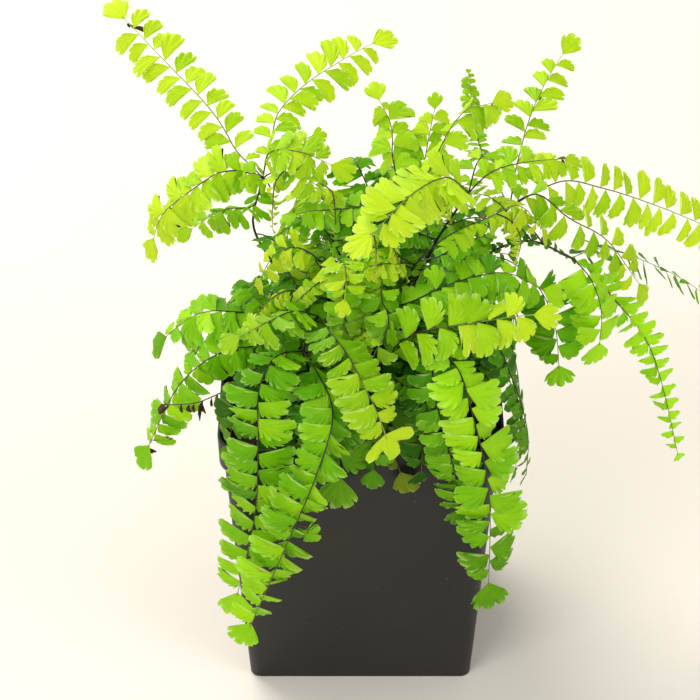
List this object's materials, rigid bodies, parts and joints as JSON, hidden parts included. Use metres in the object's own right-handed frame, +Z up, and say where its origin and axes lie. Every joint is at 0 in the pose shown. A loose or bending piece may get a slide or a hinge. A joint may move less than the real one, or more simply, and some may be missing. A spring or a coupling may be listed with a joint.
{
  "type": "potted fern",
  "caption": "Maidenhair fern with arching, hanging fronds of small lobed leaflets on dark wiry stalks, growing in a square tapered plastic nursery pot filled with soil.",
  "frame": {"origin": "middle of the pot's flat underside", "axes": "+Z up out of the pot; -Y towards the front, where the long fronds hang over the rim; +X to the right seen from the front"},
  "size_m": [0.2685, 0.1897, 0.246],
  "materials": {
    "pot": "matte black polypropylene",
    "soil": "damp dark potting soil",
    "stipe": "smooth dark wiry stalk",
    "young": "thin soft young leaf",
    "leaf": "thin soft leaf",
    "old": "thin older leaf",
    "dry": "dry curled leaf"
  },
  "bodies": {
    "root": {"pot": "pot", "soil": "soil", "rear_left_stipe": "stipe", "rear_left_fingers": "young", "rear_right_stipe": "stipe", "rear_right_fingers": "young", "right_arch_stipe": "stipe", "right_arch_fingers": "leaf", "front_left_stipe": "stipe", "front_left_fingers": "leaf", "front_crest_stipe": "stipe", "front_crest_fingers": "young", "front_spray_stipe": "stipe", "front_spray_fingers": "young", "front_right_stipe": "stipe", "front_right_fingers": "leaf", "middle_right_stipe": "stipe", "middle_right_fingers": "leaf", "upper_crest_stipe": "stipe", "upper_crest_fingers": "young", "upper_right_stipe": "stipe", "upper_right_fingers": "young", "upper_middle_stipe": "stipe", "upper_middle_fingers": "young", "left_arch_stipe": "stipe", "left_arch_fingers": "leaf", "centre_left_stipe": "stipe", "centre_left_fingers": "young", "dry_tip_stipe": "stipe", "dry_tip_fingers": "dry", "back_right_stipe": "stipe", "back_right_fingers": "leaf", "back_middle_stipe": "stipe", "back_middle_fingers": "young", "back_left_stipe": "stipe", "back_left_fingers": "leaf", "back_low_stipe": "stipe", "back_low_fingers": "old", "left_low_stipe": "stipe", "left_low_fingers": "old", "right_low_stipe": "stipe", "right_low_fingers": "old", "front_low_left_stipe": "stipe", "front_low_left_fingers": "old", "front_low_right_stipe": "stipe", "front_low_right_fingers": "old", "top_back_stipe": "stipe", "top_back_fingers": "leaf", "top_left_stipe": "stipe", "top_left_fingers": "leaf", "centre_low_stipe": "stipe", "centre_low_fingers": "old", "centre_right_stipe": "stipe", "centre_right_fingers": "leaf", "crown_stipe": "stipe", "crown_fingers": "leaf"}
  },
  "joints": []
}
